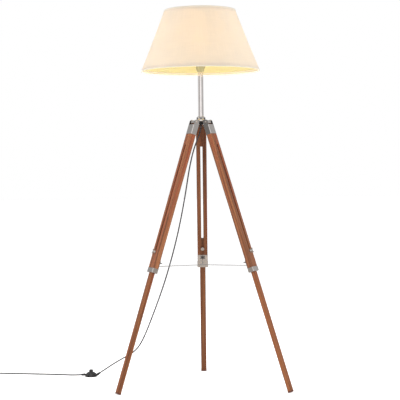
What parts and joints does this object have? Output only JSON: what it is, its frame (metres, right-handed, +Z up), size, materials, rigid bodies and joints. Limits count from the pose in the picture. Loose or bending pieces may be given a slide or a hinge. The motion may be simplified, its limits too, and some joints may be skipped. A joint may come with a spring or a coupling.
{
  "type": "tripod floor lamp",
  "caption": "Floor lamp on a folding wooden tripod with telescoping legs, chrome hub and pole, tapered fabric shade, spreader chain and foot-switched cord.",
  "frame": {"origin": "on the floor under the middle of the lamp's outer box, its cord aside; the lamp's upright axis is at y = -0.074 m", "axes": "+Z up along the pole, +Y towards the rear leg, +X to the right with the rear leg behind"},
  "size_m": [1.2424, 0.5892, 1.403],
  "materials": {
    "chrome_plate": "polished chrome plate",
    "teak": "oiled honey-brown teak",
    "shade_fabric": "white cotton-look fabric on a translucent liner, lit from inside",
    "cord_sheath": "satin dark grey sheath",
    "black_plastic": "glossy black moulding",
    "black_rubber": "matt black rubber",
    "dark_steel": "darkened steel",
    "steel": "bright zinc-plated steel",
    "white_paint": "white powder-coated wire",
    "holder_shell": "off-white moulded lampholder",
    "contact_brass": "plain brass",
    "cap_metal": "bright spun cap",
    "glass_opal": "opal glass, lit"
  },
  "bodies": {
    "hub": {"hub": "chrome_plate", "pole": "chrome_plate", "pole_screws": "dark_steel", "pivot_bolts": "chrome_plate", "pivot_nuts": "chrome_plate", "pivot_spacers": "black_rubber", "cord_gland": "black_plastic", "inner_lead": "cord_sheath", "pole_nipple": "steel", "holder_cup": "chrome_plate", "holder_nut": "steel", "holder_body": "holder_shell", "holder_contacts": "contact_brass", "shade_ring_nut": "holder_shell", "bulb_cap": "cap_metal", "bulb_glass": "glass_opal", "shade_cover": "shade_fabric", "shade_bottom_wire": "white_paint", "shade_top_wire": "white_paint", "shade_spider": "white_paint", "cord_upper": "cord_sheath", "cord_floor": "cord_sheath", "cord_tail": "cord_sheath", "cord_coil": "cord_sheath", "switch_base": "black_plastic", "switch_cover": "black_plastic", "switch_reliefs": "black_rubber", "switch_block": "black_plastic", "plug_body": "black_plastic", "plug_pins": "steel"},
    "switch_button": {"switch_button": "black_plastic"},
    "rear_upper": {"rear_bracket": "chrome_plate", "rear_upper_leg": "teak", "rear_ferrule": "chrome_plate"},
    "rear_lower": {"rear_lower_leg": "teak", "rear_foot": "black_rubber", "rear_slide_bolt": "chrome_plate"},
    "rear_nut": {"rear_wing_nut": "chrome_plate"},
    "rear_clamp": {"rear_clamp_screw": "dark_steel"},
    "rear_chain": {"rear_chain": "steel", "chain_ring": "steel"},
    "left_upper": {"left_bracket": "chrome_plate", "left_upper_leg": "teak", "left_ferrule": "chrome_plate"},
    "left_lower": {"left_lower_leg": "teak", "left_foot": "black_rubber", "left_slide_bolt": "chrome_plate"},
    "left_nut": {"left_wing_nut": "chrome_plate"},
    "left_clamp": {"left_clamp_screw": "dark_steel"},
    "left_chain": {"left_chain": "steel"},
    "right_upper": {"right_bracket": "chrome_plate", "right_upper_leg": "teak", "right_ferrule": "chrome_plate"},
    "right_lower": {"right_lower_leg": "teak", "right_foot": "black_rubber", "right_slide_bolt": "chrome_plate"},
    "right_nut": {"right_wing_nut": "chrome_plate"},
    "right_clamp": {"right_clamp_screw": "dark_steel"},
    "right_chain": {"right_chain": "steel"}
  },
  "joints": [
    {"name": "rear_fold", "type": "hinge", "parent": "hub", "child": "rear_upper", "pos_m": [0, -0.0455, 0.985], "axis": [-1, 0, 0], "range_deg": [0, 16.64]},
    {"name": "rear_slide", "type": "slide", "parent": "rear_upper", "child": "rear_lower", "axis": [0, -0.3196, 0.9475], "range_m": [0, 0.37]},
    {"name": "rear_nut_turn", "type": "hinge", "parent": "rear_lower", "child": "rear_nut", "pos_m": [0, 0.13518, 0.51193], "axis": [0, 0.9475, 0.3196], "continuous": true},
    {"name": "rear_clamp_turn", "type": "hinge", "parent": "rear_upper", "child": "rear_clamp", "pos_m": [0, 0.10814, 0.46693], "axis": [0, -0.9475, -0.3196], "continuous": true},
    {"name": "rear_chain_swing", "type": "hinge", "parent": "rear_upper", "child": "rear_chain", "pos_m": [0, 0.11808, 0.45498], "axis": [-1, 0, 0], "range_deg": [-107, 0]},
    {"name": "left_fold", "type": "hinge", "parent": "hub", "child": "left_upper", "pos_m": [-0.02468, -0.08825, 0.985], "axis": [0.5, -0.866, 0], "range_deg": [0, 16.64]},
    {"name": "left_slide", "type": "slide", "parent": "left_upper", "child": "left_lower", "axis": [0.2768, 0.1598, 0.9475], "range_m": [0, 0.37]},
    {"name": "left_nut_turn", "type": "hinge", "parent": "left_lower", "child": "left_nut", "pos_m": [-0.18115, -0.17859, 0.51193], "axis": [-0.8206, -0.4738, 0.3196], "continuous": true},
    {"name": "left_clamp_turn", "type": "hinge", "parent": "left_upper", "child": "left_clamp", "pos_m": [-0.15774, -0.16507, 0.46693], "axis": [0.8206, 0.4738, -0.3196], "continuous": true},
    {"name": "left_chain_swing", "type": "hinge", "parent": "left_upper", "child": "left_chain", "pos_m": [-0.16635, -0.17004, 0.45498], "axis": [0.5, -0.866, 0], "range_deg": [-107, 0]},
    {"name": "right_fold", "type": "hinge", "parent": "hub", "child": "right_upper", "pos_m": [0.02468, -0.08825, 0.985], "axis": [0.5, 0.866, 0], "range_deg": [0, 16.64]},
    {"name": "right_slide", "type": "slide", "parent": "right_upper", "child": "right_lower", "axis": [-0.2768, 0.1598, 0.9475], "range_m": [0, 0.37]},
    {"name": "right_nut_turn", "type": "hinge", "parent": "right_lower", "child": "right_nut", "pos_m": [0.18115, -0.17859, 0.51193], "axis": [0.8206, -0.4738, 0.3196], "continuous": true},
    {"name": "right_clamp_turn", "type": "hinge", "parent": "right_upper", "child": "right_clamp", "pos_m": [0.15774, -0.16507, 0.46693], "axis": [-0.8206, 0.4738, -0.3196], "continuous": true},
    {"name": "right_chain_swing", "type": "hinge", "parent": "right_upper", "child": "right_chain", "pos_m": [0.16635, -0.17004, 0.45498], "axis": [0.5, 0.866, 0], "range_deg": [-107, 0]},
    {"name": "switch_press", "type": "slide", "parent": "hub", "child": "switch_button", "axis": [0, 0, -1], "range_m": [0, 0.003], "stiffness_N_per_m": 600}
  ],
  "couplings": [
    {"joint": "rear_chain_swing", "follows": "rear_fold", "ratio": -6.4},
    {"joint": "left_chain_swing", "follows": "left_fold", "ratio": -6.4},
    {"joint": "right_chain_swing", "follows": "right_fold", "ratio": -6.4}
  ]
}
